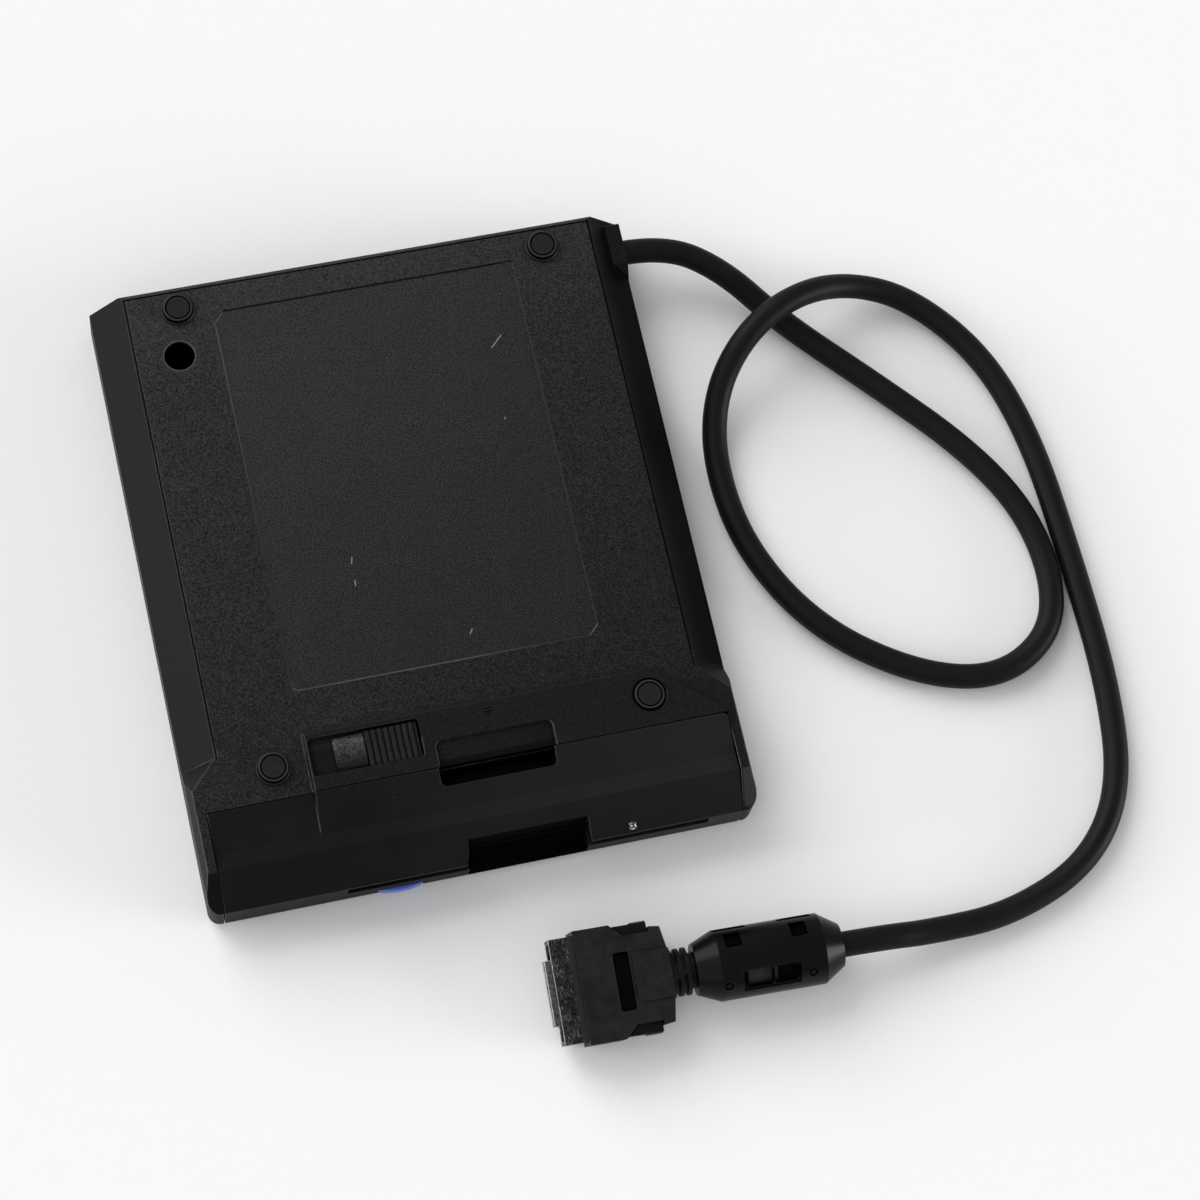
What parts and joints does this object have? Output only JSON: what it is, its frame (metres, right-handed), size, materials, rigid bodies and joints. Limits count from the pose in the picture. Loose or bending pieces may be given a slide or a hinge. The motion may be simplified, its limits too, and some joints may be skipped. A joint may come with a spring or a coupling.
{
  "type": "external floppy disk drive",
  "caption": "Flat black external 3.5 inch floppy disk drive lying on its lid, with a pull-out drive unit, latch, eject button and an attached cable with ferrite sleeve and plug.",
  "frame": {"origin": "middle of the lid's outer face, which lies on the surface; the underside with its feet points up, and turned half a turn about Y the drive stands on its feet", "axes": "+X to the right along the disk slot, +Y from the slot to the rear, +Z out of the underside"},
  "size_m": [0.2461, 0.216, 0.0248],
  "materials": {
    "black_case": "matte",
    "black_slider": "satin",
    "blue_button": "satin",
    "black_rubber": "matte",
    "grey_plug": "satin",
    "nickel": "satin",
    "steel": "satin",
    "gold": "polished",
    "connector_black": "matte",
    "green_board": "satin",
    "ferrite": "matte",
    "ceramic": "satin",
    "lamp": "polished",
    "wire": "satin"
  },
  "bodies": {
    "case": {"bottom_case": "black_case", "top_cover": "black_case", "case_screws": "nickel", "cable_grommet": "black_rubber", "cable_clamp": "grey_plug", "cord_tail": "black_rubber", "lead_wires": "wire", "dock_board": "green_board", "dock_socket": "connector_black", "guide_rail_left": "grey_plug", "guide_rail_right": "grey_plug", "shield_plate": "nickel", "rubber_foot_1": "black_rubber", "rubber_foot_2": "black_rubber", "rubber_foot_3": "black_rubber", "rubber_foot_4": "black_rubber", "cord": "black_rubber", "ferrite_case_lower": "grey_plug", "ferrite_core_lower": "ferrite", "cord_in_ferrite": "black_rubber", "plug_cover_upper": "grey_plug", "plug_cover_lower": "grey_plug", "plug_shell": "nickel", "plug_insulator": "connector_black", "plug_contacts": "gold", "plug_strain_relief": "black_rubber", "cord_in_plug": "black_rubber"},
    "latch": {"latch_slider": "black_slider", "latch_retainer": "black_slider"},
    "drive": {"bezel": "black_case", "led_lens": "lamp", "flap_pin": "nickel", "drive_tray": "nickel", "drive_cover": "nickel", "spindle_motor_base": "steel", "stepper_motor": "steel", "screw_bracket": "steel", "guide_rod": "steel", "main_board": "green_board", "main_chips": "connector_black", "dock_plug": "connector_black", "sensor_switches": "connector_black", "drive_screws": "nickel"},
    "eject": {"eject_button": "blue_button", "slide_plate": "nickel"},
    "holder": {"disk_holder": "nickel"},
    "flap": {"dust_flap": "grey_plug"},
    "spindle": {"spindle_rotor": "steel", "spindle_hub": "steel"},
    "screw": {"lead_screw": "steel"},
    "carriage": {"head_carriage": "connector_black", "upper_head_arm": "steel", "head_lower": "ceramic", "head_upper": "ceramic"},
    "squeeze_left": {"plug_button_left": "grey_plug"},
    "squeeze_right": {"plug_button_right": "grey_plug"},
    "sleeve_lid": {"ferrite_case_upper": "grey_plug", "ferrite_core_upper": "ferrite"}
  },
  "joints": [
    {"name": "drive_slide", "type": "slide", "parent": "case", "child": "drive", "axis": [0, -1, 0], "range_m": [0, 0.018]},
    {"name": "latch_slide", "type": "slide", "parent": "case", "child": "latch", "axis": [-1, 0, 0], "range_m": [0, 0.0055], "stiffness_N_per_m": 60, "springref_m": -0.003},
    {"name": "eject_press", "type": "slide", "parent": "drive", "child": "eject", "axis": [0, 1, 0], "range_m": [0, 0.0025]},
    {"name": "holder_lift", "type": "slide", "parent": "drive", "child": "holder", "axis": [0, 0, -1], "range_m": [0, 0.0018], "stiffness_N_per_m": 400, "springref_m": -0.002},
    {"name": "flap_swing", "type": "hinge", "parent": "drive", "child": "flap", "pos_m": [0.0114, -0.0749, 0.006], "axis": [-1, 0, 0], "range_deg": [0, 82], "stiffness_Nm_per_rad": 0.002},
    {"name": "spindle_spin", "type": "hinge", "parent": "drive", "child": "spindle", "pos_m": [0.0114, -0.032, 0.015], "axis": [0, 0, 1], "continuous": true},
    {"name": "carriage_travel", "type": "slide", "parent": "drive", "child": "carriage", "axis": [0, 1, 0], "range_m": [0, 0.015]},
    {"name": "screw_turn", "type": "hinge", "parent": "drive", "child": "screw", "pos_m": [0.0285, 0.02, 0.0134], "axis": [0, 1, 0], "range_deg": [0, 1800]},
    {"name": "squeeze_left_in", "type": "slide", "parent": "case", "child": "squeeze_left", "axis": [-0.0327, -0.9871, -0.1564], "range_m": [0, 0.0015], "stiffness_N_per_m": 400, "springref_m": -0.0005},
    {"name": "squeeze_right_in", "type": "slide", "parent": "case", "child": "squeeze_right", "axis": [0.0327, 0.9871, 0.1564], "range_m": [0, 0.0015], "stiffness_N_per_m": 400, "springref_m": -0.0005},
    {"name": "sleeve_open", "type": "hinge", "parent": "case", "child": "sleeve_lid", "pos_m": [0.0647, -0.12899, 0.0091], "axis": [0.9995, -0.0332, 0], "range_deg": [0, 100]}
  ],
  "couplings": [
    {"joint": "eject_press", "follows": "holder_lift", "ratio": 1.3888},
    {"joint": "screw_turn", "follows": "carriage_travel", "rad_per_m": 2094.3}
  ]
}
